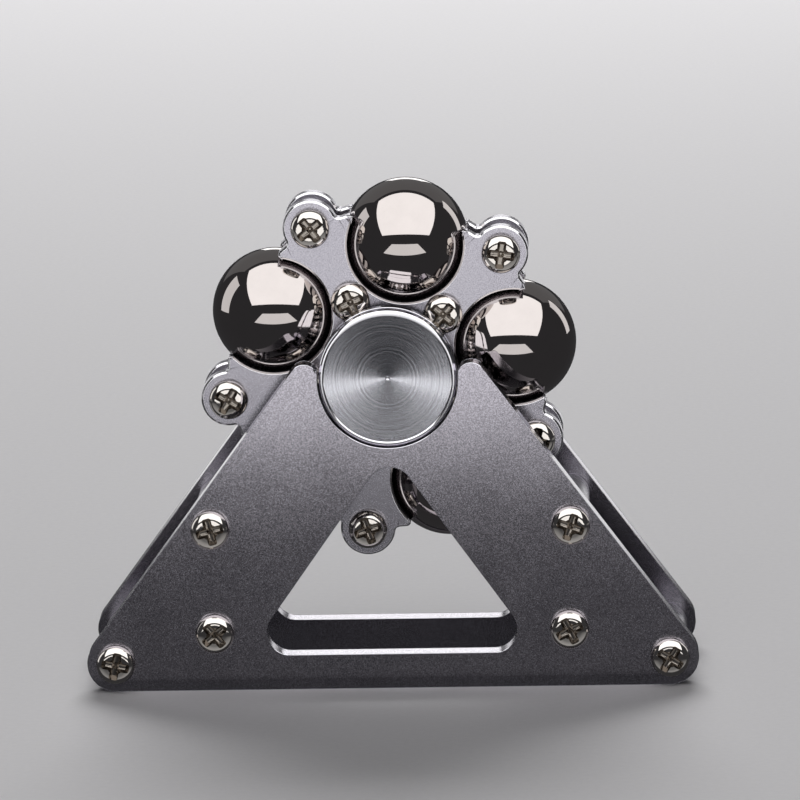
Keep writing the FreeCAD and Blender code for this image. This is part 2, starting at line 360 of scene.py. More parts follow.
def from_sheet(name: str, materials: Sequence[Material], depth: float, thickness: float,
               draw: Callable[[Pen], None], holes: Sequence[tuple[Point, float]]) -> Piece:
    """Cut a flat piece with its openings from sheet.

    Args:
        name: the piece's name.
        materials: face finish, then edge finish.
        depth: where the sheet's first face lies along y.
        thickness: the sheet's thickness towards +y, or towards -y when negative.
        draw: draws the closed outlines.
        holes: centre and radius of each round hole.

    Returns:
        The piece, left in edit mode.
    """
    piece = blank(name)
    for material in materials:
        piece.data.materials.append(material)
    pen = Pen(Drawing.FRONT, (0, depth, 0))
    draw(pen)
    for centre, radius in holes:
        count = max(HOLE_EDGES, math.ceil(math.pi / math.acos(1 - HOLE_CHORD_MM / radius)))
        bpy.ops.mesh.primitive_circle_add(vertices=count, radius=radius * MM, location=pen.place(centre),
                                          rotation=(math.pi / 2, 0, 0))
    bpy.ops.mesh.select_all(action="SELECT")
    bpy.ops.mesh.remove_doubles(threshold=MERGE_MM * MM)
    bpy.ops.mesh.fill(use_beauty=True)
    bpy.ops.mesh.select_all(action="SELECT")
    bpy.ops.mesh.extrude_region_move(TRANSFORM_OT_translate={"value": (0, thickness * MM, 0)})
    return piece


def turned(name: str, materials: Sequence[Material], axis: Sequence[float],
           draw: Callable[[Pen], None], steps: int = 96) -> Piece:
    """Turn a section about an axis along y.

    Args:
        name: the piece's name.
        materials: finishes, the first on all faces.
        axis: a point of the axis in millimetres, which is the section's zero point.
        draw: draws the section, closed or ending on the axis.
        steps: faces round the piece.

    Returns:
        The turned piece in object mode.
    """
    piece = blank(name)
    for material in materials:
        piece.data.materials.append(material)
    draw(Pen(Drawing.SECTION, axis))
    bpy.ops.mesh.select_all(action="SELECT")
    bpy.ops.mesh.spin(steps=steps, angle=math.tau, center=Vector(axis) * MM, axis=(0, 1, 0))
    seal()
    return piece


def sleeve(name: str, node: str, material: Material, radius: float, bore: float, edge: float,
           steps: int) -> Piece:
    """Turn a sleeve with broken outer edges.

    Args:
        name: the piece's name.
        node: CAD node that gives its place and length.
        material: its finish.
        radius: outer radius.
        bore: radius of its bore.
        edge: width of the broken edges.
        steps: faces round it.

    Returns:
        The sleeve.
    """
    half, side = span(node).y / 2, radius - edge

    def draw(pen: Pen) -> None:
        """Half section of the wall."""
        pen.start((bore, -half))
        pen.line((side, -half), (radius, -half + edge), (radius, half - edge), (side, half), (bore, half),
                 (bore, -half))

    sleeve = turned(name, [material], middle(node), draw, steps)
    smooth(sleeve)
    return sleeve


def ground_ball(name: str, material: Material, centre: Vector, radius: float,
                cuts: int = 31) -> Piece:
    """Grind a cube blank to a ball of even quads, with no poles.

    Args:
        name: the piece's name.
        material: its finish.
        centre: centre.
        radius: radius.
        cuts: cuts along each edge of the blank.

    Returns:
        The ball.
    """
    clear()
    bpy.ops.mesh.primitive_cube_add(size=2 * radius * MM, location=(0, 0, 0))
    ball = bpy.context.active_object
    ball.name = ball.data.name = name
    ball.data.materials.append(material)
    bpy.ops.object.mode_set(mode="EDIT")
    bpy.ops.mesh.select_all(action="SELECT")
    bpy.ops.mesh.subdivide(number_cuts=cuts)
    clear()
    modify(ball, "CAST", cast_type="SPHERE", factor=1.0, use_radius_as_size=False, size=radius * MM)
    ball.location = centre * MM
    bpy.ops.object.transform_apply(location=True, rotation=False, scale=False)
    bpy.ops.object.shade_smooth()
    return ball


# ---------------------------------------------------------------- finishes


Number = Union["Value", float]


class Value:
    """A number inside a material. Arithmetic on it adds Math nodes."""

    def __init__(self, recipe: "Recipe", socket: Socket) -> None:
        """Wrap a socket of a recipe."""
        self.recipe = recipe
        self.socket = socket

    def __add__(self, other: Number) -> "Value":
        """Sum."""
        return self.recipe.maths("ADD", self, other)

    __radd__ = __add__

    def __sub__(self, other: Number) -> "Value":
        """Difference."""
        return self.recipe.maths("SUBTRACT", self, other)

    def __rsub__(self, other: Number) -> "Value":
        """Reflected difference."""
        return self.recipe.maths("SUBTRACT", other, self)

    def __mul__(self, other: Number) -> "Value":
        """Product."""
        return self.recipe.maths("MULTIPLY", self, other)

    __rmul__ = __mul__

    def __truediv__(self, other: Number) -> "Value":
        """Quotient."""
        return self.recipe.maths("DIVIDE", self, other)

    def __rtruediv__(self, other: Number) -> "Value":
        """Reflected quotient."""
        return self.recipe.maths("DIVIDE", other, self)

    def centred(self) -> "Value":
        """A pattern from 0 to 1, moved to swing about zero."""
        return self - 0.5

    def sine(self) -> "Value":
        """Sine."""
        return self.recipe.maths("SINE", self)

    def root(self) -> "Value":
        """Square root."""
        return self.recipe.maths("SQRT", self)

    def clamp(self) -> "Value":
        """Held between 0 and 1."""
        return self.recipe.value("ShaderNodeClamp", {}, [self, 0.0, 1.0])


class Recipe:
    """The node tree of one material."""

    def __init__(self, name: str) -> None:
        """Start a material with an empty tree."""
        self.material = bpy.data.materials.new(name)
        self.material.use_nodes = True
        self.tree = self.material.node_tree
        self.tree.nodes.clear()

    def node(self, kind: str, settings: dict[str, Any],
             inputs: Union[Sequence[Any], dict[Any, Any]] = ()) -> bpy.types.Node:
        """Add a node.

        Args:
            kind: the node's type.
            settings: its own settings, set before its sockets.
            inputs: values or links, in order or by socket name.

        Returns:
            The node.
        """
        node = self.tree.nodes.new(kind)
        for name, value in settings.items():
            setattr(node, name, value)
        pairs = inputs.items() if isinstance(inputs, dict) else enumerate(inputs)
        for key, value in pairs:
            if isinstance(value, Value):
                self.tree.links.new(value.socket, node.inputs[key])
            elif isinstance(value, Socket):
                self.tree.links.new(value, node.inputs[key])
            else:
                node.inputs[key].default_value = value
        return node

    def value(self, kind: str, settings: dict[str, Any], inputs: Any, output: Union[int, str] = 0) -> Value:
        """Add a node and take one of its outputs."""
        return Value(self, self.node(kind, settings, inputs).outputs[output])

    def maths(self, operation: str, *inputs: Number) -> Value:
        """Add a Math node."""
        return self.value("ShaderNodeMath", {"operation": operation}, inputs)

    def place(self) -> Socket:
        """The object's own coordinates."""
        return self.node("ShaderNodeTexCoord", {}).outputs["Object"]

    def noise(self, size_mm: float, detail: float = 3.0, rough: float = 0.6,
              where: Optional[Socket] = None) -> Value:
        """Noise from 0 to 1 with features of a given size."""
        inputs = {"Vector": where or self.place(), "Scale": 1 / (size_mm * MM), "Detail": detail,
                  "Roughness": rough}
        return self.value("ShaderNodeTexNoise", {"noise_dimensions": "3D"}, inputs, "Fac")

    def lines(self, where: Value, pitch_mm: float) -> Value:
        """Random fine lines across a distance, from 0 to 1."""
        inputs = {"W": where / pitch_mm, "Scale": 1.0, "Detail": 3.0, "Roughness": 0.6}
        return self.value("ShaderNodeTexNoise", {"noise_dimensions": "1D"}, inputs, "Fac")

    def stretched(self, scale: Triple) -> Socket:
        """The object's coordinates stretched by a factor along each axis."""
        inputs = {"Vector": self.place(), "Scale": scale}
        return self.node("ShaderNodeMapping", {"vector_type": "POINT"}, inputs).outputs[0]

    def from_axis(self, height_mm: float) -> Value:
        """Distance in millimetres from the line along y at a height."""
        parts = self.node("ShaderNodeSeparateXYZ", {}, [self.place()])
        x = Value(self, parts.outputs["X"]) / MM
        z = Value(self, parts.outputs["Z"]) / MM - height_mm
        return (x * x + z * z).root()

    def along_axis(self) -> Value:
        """Depth in millimetres."""
        return self.value("ShaderNodeSeparateXYZ", {}, [self.place()], "Y") / MM

    def shade(self, amount: Number, colour: Triple, tones: Point) -> Socket:
        """Colour between two tones of one colour.

        Args:
            amount: 0 for the first tone, 1 for the second.
            colour: the colour.
            tones: factor of the colour at either end.

        Returns:
            The mixed colour.
        """
        dark, light = ((*(part * tone for part in colour), 1.0) for tone in tones)
        inputs = {0: amount, 6: dark, 7: light}
        return self.node("ShaderNodeMix", {"data_type": "RGBA", "clamp_factor": True}, inputs).outputs[2]

    def relief(self, height: Value, depth_mm: float, strength: float = 1.0) -> Socket:
        """Surface normal of a height pattern of a given depth."""
        inputs = {"Strength": strength, "Distance": depth_mm * MM, "Height": height}
        return self.node("ShaderNodeBump", {}, inputs).outputs["Normal"]

    def finish(self, **inputs: Any) -> Material:
        """Close the recipe with a Principled surface.

        Args:
            **inputs: socket values or links; underscores stand for spaces.

        Returns:
            The material.
        """
        named = {key.replace("_", " "): value for key, value in inputs.items()}
        surface = self.node("ShaderNodeBsdfPrincipled", {}, named)
        self.node("ShaderNodeOutputMaterial", {}, [surface.outputs[0]])
        return self.material


@dataclass(frozen=True)
class Blasted:
    """Bead-blasted metal: a fine even grain over broad faint patches."""

    name: str
    colour: Triple
    roughness: float
    grain_mm: float
    contrast: float = 0.3
    grain_tint: float = 3.2
    grain_roughness: float = 0.10
    patch_mm: float = 9.0
    patch_tint: float = 0.4
    patch_roughness: float = 0.03
    depth_mm: float = 0.0028

    def make(self) -> Material:
        """Build the material."""
        r = Recipe(self.name)
        grain = r.noise(self.grain_mm)
        patches = r.noise(self.patch_mm, rough=0.55)
        tint = grain.centred() * self.grain_tint + patches.centred() * self.patch_tint + 0.5
        colour = r.shade(tint.clamp(), self.colour, (1 - self.contrast, 1 + self.contrast))
        roughness = self.roughness + grain.centred() * self.grain_roughness
        roughness += patches.centred() * self.patch_roughness
        normal = r.relief(grain, self.depth_mm)
        return r.finish(Base_Color=colour, Metallic=1.0, Roughness=roughness, Normal=normal)


@dataclass(frozen=True)
class Polished:
    """Polished metal with faint smears and wipe marks."""

    name: str
    colour: Triple
    roughness: float = 0.1
    marks: float = 0.05
    smear_mm: float = 3.5
    wipe_mm: float = 0.5
    wipe_stretch: Triple = (1.0, 6.0, 2.0)
    tones: Point = (0.93, 1.05)
    depth_mm: float = 0.0006
    depth_strength: float = 0.5

    def make(self) -> Material:
        """Build the material."""
        r = Recipe(self.name)
        smear = r.noise(self.smear_mm, 4.0)
        wipe = r.noise(self.wipe_mm, where=r.stretched(self.wipe_stretch))
        roughness = self.roughness + smear.centred() * self.marks + wipe.centred() * self.marks
        colour = r.shade(smear, self.colour, self.tones)
        normal = r.relief(wipe, self.depth_mm, self.depth_strength)
        return r.finish(Base_Color=colour, Metallic=1.0, Roughness=roughness.clamp(), Normal=normal)


@dataclass(frozen=True)
class Mirror:
    """Hardened ball steel, lapped to a dark mirror."""

    name: str
    colour: Triple
    roughness: float = 0.02
    haze_mm: float = 2.2
    haze_roughness: float = 0.02
    speck_mm: float = 0.25
    speck_level: float = 0.72
    speck_gain: float = 6.0
    speck_roughness: float = 0.05
    tones: Point = (0.94, 1.06)

    def make(self) -> Material:
        """Build the material."""
        r = Recipe(self.name)
        haze = r.noise(self.haze_mm, 4.0)
        speck = (r.noise(self.speck_mm, 1.0, 0.5) - self.speck_level) * self.speck_gain
        roughness = self.roughness + haze * self.haze_roughness + speck.clamp() * self.speck_roughness
        return r.finish(Base_Color=r.shade(haze, self.colour, self.tones), Metallic=1.0, Roughness=roughness)


@dataclass(frozen=True)
class FaceTurned:
    """A face turned on the lathe: fine rings about the hub's axis."""

    name: str
    colour: Triple
    height_mm: float
    pitch_mm: float = 0.05
    depth_mm: float = 0.0011
    roughness: float = 0.13
    ring_mm: float = 0.25
    ring_share: float = 0.08
    ring_tint: float = 2.0
    ring_roughness: float = 0.10
    tones: Point = (0.78, 1.16)

    def make(self) -> Material:
        """Build the material."""
        r = Recipe(self.name)
        out = r.from_axis(self.height_mm)
        feed = (out * (math.tau / self.pitch_mm)).sine() * 0.5 + 0.5
        chatter = r.lines(out, self.ring_mm)
        rings = feed * (1 - self.ring_share) + chatter * self.ring_share
        colour = r.shade(chatter.centred() * self.ring_tint + 0.5, self.colour, self.tones)
        roughness = self.roughness + chatter.centred() * self.ring_roughness
        normal = r.relief(rings, self.depth_mm)
        return r.finish(Base_Color=colour, Metallic=1.0, Roughness=roughness, Normal=normal)


@dataclass(frozen=True)
class BarTurned:
    """The outside of a turned bar: fine rings along its length under a faint smear."""

    name: str
    colour: Triple
    pitch_mm: float = 0.16
    depth_mm: float = 0.008
    roughness: float = 0.28
    depth_strength: float = 0.7
    ring_share: float = 0.6
    ring_roughness: float = 0.14
    smear_mm: float = 2.5
    smear_roughness: float = 0.08
    tones: Point = (0.84, 1.1)

    def make(self) -> Material:
        """Build the material."""
        r = Recipe(self.name)
        rings = r.lines(r.along_axis(), self.pitch_mm)
        smear = r.noise(self.smear_mm)
        colour = r.shade(rings * self.ring_share + smear * (1 - self.ring_share), self.colour, self.tones)
        roughness = self.roughness + rings.centred() * self.ring_roughness
        roughness += smear.centred() * self.smear_roughness
        normal = r.relief(rings, self.depth_mm, self.depth_strength)
        return r.finish(Base_Color=colour, Metallic=1.0, Roughness=roughness, Normal=normal)


@dataclass(frozen=True)
class Ground:
    """The pale matte ground."""

    name: str
    colour: Triple
    grain_mm: float = 0.9
    tones: Point = (0.95, 1.04)
    depth_mm: float = 0.02
    depth_strength: float = 0.3

    def make(self) -> Material:
        """Build the material."""
        r = Recipe(self.name)
        grain = r.noise(self.grain_mm)
        colour = r.shade(grain, self.colour, self.tones)
        normal = r.relief(grain, self.depth_mm, self.depth_strength)
        return r.finish(Base_Color=colour, Roughness=0.75, Specular_IOR_Level=0.2, Normal=normal)


class Finishes:
    """Every finish of the object, made once."""

    def __init__(self, hub_height: float) -> None:
        """Make the materials.

        Args:
            hub_height: height of the spinner's axis.
        """
        self.stand = Blasted("stand_blasted", (0.44, 0.42, 0.465), 0.19, 0.15, 0.36).make()
        self.stand_edge = Polished("stand_edge", (0.72, 0.71, 0.76), 0.15).make()
        self.star = Blasted("star_blasted", (0.43, 0.415, 0.46), 0.26, 0.10).make()
        self.star_edge = Polished("star_edge", (0.86, 0.85, 0.88), 0.14).make()
        self.ball = Mirror("ball_mirror", (0.50, 0.46, 0.445)).make()
        self.race_ball = Mirror("race_ball", (0.55, 0.55, 0.57)).make()
        self.screw = Polished("screw_polished", (0.70, 0.66, 0.62), 0.06, 0.05).make()
        # The cross recess gets a far darker colour than the screw head: painted shade inside the recess.
        self.recess = Polished("screw_recess", (0.30, 0.27, 0.24), 0.14, 0.08).make()
        self.cap_face = FaceTurned("cap_face", (0.70, 0.70, 0.75), hub_height).make()
        self.cap_rim = Polished("cap_rim", (0.84, 0.83, 0.87), 0.12).make()
        self.post = BarTurned("post_turned", (0.40, 0.39, 0.42)).make()
        self.spacer = BarTurned("spacer_turned", (0.42, 0.41, 0.44)).make()
        self.bearing = FaceTurned("bearing_ground", (0.55, 0.55, 0.58), hub_height, 0.08, 0.0006, 0.18).make()
        self.cage = BarTurned("cage_stamped", (0.55, 0.50, 0.40), 0.3, 0.004, 0.35).make()
        self.ground = Ground("ground_matte", (0.72, 0.71, 0.72)).make()


# ---------------------------------------------------------------- the pieces


class Facing(Enum):
    """Side of the object."""

    FRONT = -1
    REAR = 1


@dataclass
class Stand:
    """Two notched plates held apart by six posts."""

    finishes: Finishes
    corner: Point = (35.35, 3.65)
    corner_radius: float = 3.65
    leg_top: Point = (10.6, 40.25)
    leg_top_radius: float = 1.8
    tip_radius: float = 0.5
    notch: Point = (0.0, 40.1)
    notch_radius: float = 8.95
    window_foot: Point = (18.8, 4.45)
    window_peak: float = 30.9
    window_radius: float = 3.0
    edge: float = 0.28
    post_radius: float = 2.5
    post_edge: float = 0.3
    hole_radius: float = 1.27
    posts: Sequence[str] = ("left_corner", "left_base", "left_leg", "right_corner", "right_base", "right_leg")

    def outline(self, pen: Pen) -> None:
        """Draw the plate's outside, anticlockwise from the bottom right corner."""
        corner, top = self.corner, self.leg_top
        length = math.dist(corner, top)
        rise = ((top[0] - corner[0]) / length, (top[1] - corner[1]) / length)
        lean = (self.corner_radius - self.leg_top_radius) / length
        wide = math.sqrt(1 - lean * lean)
        normal = (rise[0] * lean + rise[1] * wide, rise[1] * lean - rise[0] * wide)
        foot = (corner[0] + normal[0] * self.corner_radius, corner[1] + normal[1] * self.corner_radius)
        shoulder = (top[0] + normal[0] * self.leg_top_radius, top[1] + normal[1] * self.leg_top_radius)
        tip = crossing(top, self.leg_top_radius - self.tip_radius,
                       self.notch, self.notch_radius + self.tip_radius)
        tip_start = between(top, tip, self.leg_top_radius)
        tip_end = between(self.notch, tip, self.notch_radius)
        pen.start((corner[0], 0.0))
        pen.arc(corner, foot, 1)
        pen.line(shoulder)
        pen.arc(top, tip_start, 1)
        pen.arc(tip, tip_end, 1)
        pen.arc(self.notch, mirrored(tip_end), -1)
        pen.arc(mirrored(tip), mirrored(tip_start), 1)
        pen.arc(mirrored(top), mirrored(shoulder), 1)
        pen.line(mirrored(foot))
        pen.arc(mirrored(corner), (-corner[0], 0.0), 1)
        pen.line((corner[0], 0.0))

    def window(self, pen: Pen) -> None:
        """Draw the window with its three rounded corners."""
        x, floor = self.window_foot
        r = self.window_radius
        slope = math.atan2(self.window_peak - floor, x)
        inset = r / math.tan(slope / 2)
        centre = (x - inset, floor + r)
        side = (centre[0] + r * math.sin(slope), centre[1] + r * math.cos(slope))
        peak = (0.0, self.window_peak - r / math.cos(slope))
        brow = (r * math.sin(slope), peak[1] + r * math.cos(slope))
        pen.start((centre[0], floor))
        pen.arc(centre, side, 1)
        pen.line(brow)
        pen.arc(peak, mirrored(brow), 1)
        pen.line(mirrored(side))
        pen.arc(mirrored(centre), (-centre[0], floor), 1)
        pen.line((centre[0], floor))

    def front_view(self, pen: Pen) -> None:
        """Draw the outside and the window."""
        self.outline(pen)
        self.window(pen)

    def post_places(self) -> list[Point]:
        """Side place and height of each post."""
        return [(middle(f"stand_standoff_{p}").x, middle(f"stand_standoff_{p}").z) for p in self.posts]

    def plate(self, facing: Facing) -> None:
        """Cut one plate with its window and screw holes.

        Args:
            facing: which of the two.
        """
        name = facing.name.lower()
        node = f"stand_{name}_plate"
        thickness = span(node).y
        depth = middle(node).y - thickness / 2
        holes = [(place, self.hole_radius) for place in self.post_places()]
        finishes = [self.finishes.stand, self.finishes.stand_edge]
        plate = from_sheet(f"plate_{name}", finishes, depth, thickness, self.front_view, holes)
        seal()
        chamfer(plate, self.edge, slot=1, clamp=True)
        hand_over(plate, "stand", [node])

    def build(self) -> None:
        """Make both plates and the posts."""
        for facing in Facing:
            self.plate(facing)
        for place in self.posts:
            node = f"stand_standoff_{place}"
            post = sleeve(f"post_{place}", node, self.finishes.post, self.post_radius, self.hole_radius,
                          self.post_edge, 64)
            hand_over(post, "stand", [node])


@dataclass
class Screws:
    """Pan-head screws: one is made, then copied to each place."""

    finishes: Finishes
    head_radius: float = 2.5
    head_height: float = 1.9
    shoulder_radius: float = 1.15
    shank_radius: float = 1.25
    shank_edge: float = 0.3
    crown: float = 0.04
    crown_middle: Point = (0.6, 0.01)
    under_edge: float = 0.12
    wing_span: float = 3.7
    wing_width: float = 1.15
    wing_round: float = 0.25
    wing_depth: float = 0.85
    wing_taper: Triple = (0.70, 1.0, 0.72)
    pit_radius: float = 1.0
    pit_tip: float = 0.12
    pit_depth: float = 1.3
    pit_rise: float = 0.5
    mouth_edge: float = 0.07
    stand_shank: float = 8.0
    rotor_shank: float = 4.5
    stand_turns: Sequence[float] = (12, 50, 75, 33, 64, 20)
    outer_turns: Sequence[float] = (8, 52, 30, 71, 15)
    inner_turns: Sequence[float] = (40, 66, 10, 27, 83)

    def section(self, pen: Pen, shank: float) -> None:
        """Draw the half section, head towards -y, from the top of the head to the shank's end."""
        r, h, shoulder, s = self.head_radius, self.head_height, self.shoulder_radius, self.shank_radius
        flat, low, e, end = r - shoulder, self.crown - h, self.under_edge, self.shank_edge
        share, drop = self.crown_middle
        pen.start((0.0, -h))
        pen.line((flat * share, drop - h), (flat, low))
        pen.arc((flat, low + shoulder), (r, low + shoulder), 1)
        pen.line((r, -e), (r - e, 0.0), (s, 0.0), (s, shank - end), (s - end, shank), (0.0, shank))

    def wing_tool(self, turn: float) -> Piece:
        """Make one tapered blade of the cross recess."""
        clear()
        bpy.ops.mesh.primitive_cube_add(size=1, location=(0, -MM / 2, 0),
                                        scale=(self.wing_span * MM, MM, self.wing_width * MM))
        blade = bpy.context.active_object
        # The faces this blade cuts take the darker recess finish, which is painted shade inside the cross
        # recess.
        blade.data.materials.append(self.finishes.recess)
        bpy.ops.object.transform_apply(location=True, rotation=False, scale=True)
        bpy.ops.object.mode_set(mode="EDIT")
        pick(blade, lambda p: p.y > -PICK_MM)
        bpy.ops.mesh.extrude_region_move(TRANSFORM_OT_translate={"value": (0, self.wing_depth * MM, 0)})
        bpy.ops.transform.resize(value=self.wing_taper, center_override=(0, self.wing_depth * MM, 0))
        clear()
        modify(blade, "BEVEL", width=self.wing_round * MM, segments=3, limit_method="ANGLE",
               angle_limit=math.radians(60))
        blade.rotation_euler = (0, math.radians(turn), 0)
        blade.location = (0, -self.head_height * MM, 0)
        bpy.ops.object.transform_apply(location=True, rotation=True, scale=True)
        return blade

    def pit_tool(self) -> Piece:
        """Make the cone that deepens the middle of the recess."""
        clear()
        depth, above = self.pit_depth * MM, self.pit_rise * MM
        mouth = self.pit_radius * MM + above * self.pit_radius / self.pit_depth
        place = (0, -self.head_height * MM + (depth - above) / 2, 0)
        bpy.ops.mesh.primitive_cone_add(vertices=32, radius1=mouth, radius2=self.pit_tip * MM,
                                        depth=depth + above, location=place, rotation=(-math.pi / 2, 0, 0))
        pit = bpy.context.active_object
        # The faces this cone cuts take the same darker finish, painted shade deep in the recess.
        pit.data.materials.append(self.finishes.recess)
        bpy.ops.object.transform_apply(location=True, rotation=True, scale=True)
        return pit

    def master(self, shank: float) -> Piece:
        """Make one screw at the origin.

        Args:
            shank: length under the head.

        Returns:
            The screw, its head towards -y and its seat at zero.
        """
        screw = turned("screw", [self.finishes.screw, self.finishes.recess], (0, 0, 0),
                       lambda pen: self.section(pen, shank), 56)
        clear()
        for turn in (0.0, 90.0):
            cut(screw, self.wing_tool(turn))
        cut(screw, self.pit_tool())
        modify(screw, "BEVEL", width=self.mouth_edge * MM, segments=2, limit_method="ANGLE",
               angle_limit=math.radians(46))
        smooth(screw, 40.0)
        return screw

    def group(self, node: str, body: str, facing: Facing, places: Sequence[Point], seat: float, shank: float,
              turns: Sequence[float]) -> None:
        """Copy the screw to its places and join the copies.

        Args:
            node: the CAD node they stand for.
            body: the body they ride on.
            facing: side that the heads face.
            places: x and z of each screw.
            seat: distance of the seat from the middle plane.
            shank: length under the head.
            turns: how far each screw is turned, in degrees.
        """
        master = self.master(shank)
        flip = Matrix.Rotation(math.pi, 4, "Z") if facing is Facing.REAR else Matrix.Identity(4)
        copies = []
        for (x, z), turn in zip(places, turns):
            place = Matrix.Translation(Vector((x, facing.value * seat, z)) * MM)
            spin = Matrix.Rotation(math.radians(turn), 4, "Y")
            copies.append(copy(master, "screw_copy", place @ flip @ spin))
        bpy.data.objects.remove(master)
        screws = join(copies, "screws_" + node.replace("_screws", ""))
        hand_over(screws, body, [node])

    def build(self, stand: Stand, rotor: "Rotor") -> None:
        """Make all six groups."""
        outer = rotor.arm_places(rotor.lobe_circle)
        inner = rotor.arm_places(rotor.inner_circle)
        for facing in Facing:
            name = facing.name.lower()
            plate = f"stand_{name}_plate"
            seat, face = abs(middle(plate).y) + span(plate).y / 2, rotor.outer_face
            self.group(f"stand_{name}_screws", "stand", facing, stand.post_places(), seat, self.stand_shank,
                       self.stand_turns)
            rings = (("outer", outer, self.outer_turns), ("inner", inner, self.inner_turns))
            for ring, places, turns in rings:
                node = f"rotor_{name}_{ring}_screws"
                self.group(node, "rotor", facing, places, face, self.rotor_shank, turns)


@dataclass
class Rotor:
    """Two star plates that hold five balls, with the spacers and the bearing carrier between them."""

    finishes: Finishes
    star_radius: float = 20.55
    lobe_circle: float = 20.8
    lobe_radius: float = 3.5
    lobe_fillet: float = 0.6
    horn_radius: float = 0.5
    pocket_radius: float = 7.4
    inner_circle: float = 10.1
    bore_radius: float = 5.8
    hole_radius: float = 1.27
    edge: float = 0.23
    seat_depth: float = 0.7
    seat_flare: float = 1.034
    carrier_radius: float = 7.85
    boss_radius: float = 1.85
    carrier_bore: float = 6.37
    web_half: float = 0.9
    carrier_edge: float = 0.12
    spacer_radius: float = 2.5
    spacer_edge: float = 0.2
    axis: Point = field(init=False)
    ball_circle: float = field(init=False)
    ball_radius: float = field(init=False)
    first_ball: float = field(init=False)
    outer_face: float = field(init=False)
    inner_face: float = field(init=False)

    def __post_init__(self) -> None:
        """Read the places from the frame."""
        joint = next(j for j in frame["joints"] if j["name"] == "rotor_spin")
        self.axis = (joint["pos_m"][0] / MM, joint["pos_m"][2] / MM)
        ball = middle("rotor_ball_1")
        self.ball_circle = math.dist(self.axis, (ball.x, ball.z))
        self.ball_radius = span("rotor_ball_1").y / 2
        self.first_ball = math.degrees(math.atan2(ball.z - self.axis[1], ball.x - self.axis[0]))
        plate_low, plate_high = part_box("rotor_rear_plate")
        self.outer_face = plate_high.y / MM
        self.inner_face = plate_low.y / MM

    def ball_degrees(self) -> list[float]:
        """Direction of each ball from the axis."""
        return [self.first_ball + PITCH * i for i in range(ARMS)]

    def arm_places(self, radius: float) -> list[Point]:
        """Middle of each arm at a distance from the axis."""
        return [polar(self.axis, radius, degrees + PITCH / 2) for degrees in self.ball_degrees()]

    def star_outline(self, pen: Pen) -> None:
        """Draw the star once round: pocket, horn, rim, lobe, rim and horn of each arm."""
        hub, rim, first = self.axis, self.star_radius, self.first_ball
        horn_circle, join_circle = rim - self.horn_radius, rim + self.lobe_fillet
        horn_at = corner_degrees(self.ball_circle, horn_circle, self.pocket_radius + self.horn_radius)
        join_at = corner_degrees(self.lobe_circle, join_circle, self.lobe_radius + self.lobe_fillet)
        ball, horn = polar(hub, self.ball_circle, first), polar(hub, horn_circle, first + horn_at)
        pen.start(between(ball, horn, self.pocket_radius))
        for degrees in self.ball_degrees():
            arm, following = degrees + PITCH / 2, degrees + PITCH
            ball, lobe = polar(hub, self.ball_circle, following), polar(hub, self.lobe_circle, arm)
            horns_at = (degrees + horn_at, following - horn_at, following + horn_at)
            horns = [polar(hub, horn_circle, at) for at in horns_at]
            joins = [polar(hub, join_circle, at) for at in (arm - join_at, arm + join_at)]
            pen.arc(horns[0], between(hub, horns[0], rim), 1)
            pen.arc(hub, between(hub, joins[0], rim), 1)
            pen.arc(joins[0], between(lobe, joins[0], self.lobe_radius), -1)
            pen.arc(lobe, between(lobe, joins[1], self.lobe_radius), 1)
            pen.arc(joins[1], between(hub, joins[1], rim), -1)
            pen.arc(hub, between(hub, horns[1], rim), 1)
            pen.arc(horns[1], between(ball, horns[1], self.pocket_radius), 1)
            pen.arc(ball, between(ball, horns[2], self.pocket_radius), -1)

    def star(self, facing: Facing) -> None:
        """Make one star plate with flared ball seats on its inner side."""
        name, side = facing.name.lower(), facing.value
        inner = side * self.inner_face
        holes = [(self.axis, self.bore_radius)]
        for radius in (self.inner_circle, self.lobe_circle):
            holes += [(place, self.hole_radius) for place in self.arm_places(radius)]
        straight = (self.outer_face - self.inner_face - self.seat_depth) * -side
        finishes = [self.finishes.star, self.finishes.star_edge]
        star = from_sheet(f"star_{name}", finishes, side * self.outer_face, straight,
                          self.star_outline, holes)
        step = (0, -side * self.seat_depth * MM, 0)
        bpy.ops.mesh.extrude_region_move(TRANSFORM_OT_translate={"value": step})
        for degrees in self.ball_degrees():
            x, z = polar(self.axis, self.ball_circle, degrees)

            def on_rim(p: Vector) -> bool:
                """Whether a vertex is on the pocket's inner rim."""
                away = math.hypot(p.x - x, p.z - z) - self.pocket_radius
                return abs(p.y - inner) < PICK_MM and abs(away) < PICK_MM

            pick(star, on_rim)
            bpy.ops.transform.resize(value=(self.seat_flare, 1, self.seat_flare),
                                     center_override=(x * MM, inner * MM, z * MM))
        seal()
        chamfer(star, self.edge, slot=1)
        hand_over(star, "rotor", [f"rotor_{name}_plate"])

    def carrier_outline(self, pen: Pen) -> None:
        """Draw the ring that holds the bearing, with a boss on a web under each inner screw."""
        hub, r, w = self.axis, self.carrier_radius, self.web_half
        root = math.sqrt(r * r - w * w)
        neck = self.inner_circle - math.sqrt(self.boss_radius ** 2 - w * w)
        arms = [degrees + PITCH / 2 for degrees in self.ball_degrees()]
        pen.start(beside(hub, arms[0], root, -w))
        for arm, following in zip(arms, arms[1:] + arms[:1]):
            pen.line(beside(hub, arm, neck, -w))
            pen.arc(polar(hub, self.inner_circle, arm), beside(hub, arm, neck, w), 1)
            pen.line(beside(hub, arm, root, w))
            pen.arc(hub, beside(hub, following, root, -w), 1)

    def carrier(self) -> None:
        """Make the bearing carrier."""
        places = self.arm_places(self.inner_circle)
        holes = [(self.axis, self.carrier_bore), *((place, self.hole_radius) for place in places)]
        node = "rotor_bearing_carrier"
        width = span(node).y
        carrier = from_sheet("bearing_carrier_ring", [self.finishes.spacer], -width / 2, width,
                             self.carrier_outline, holes)
        seal()
        chamfer(carrier, self.carrier_edge)
        hand_over(carrier, "rotor", [node])

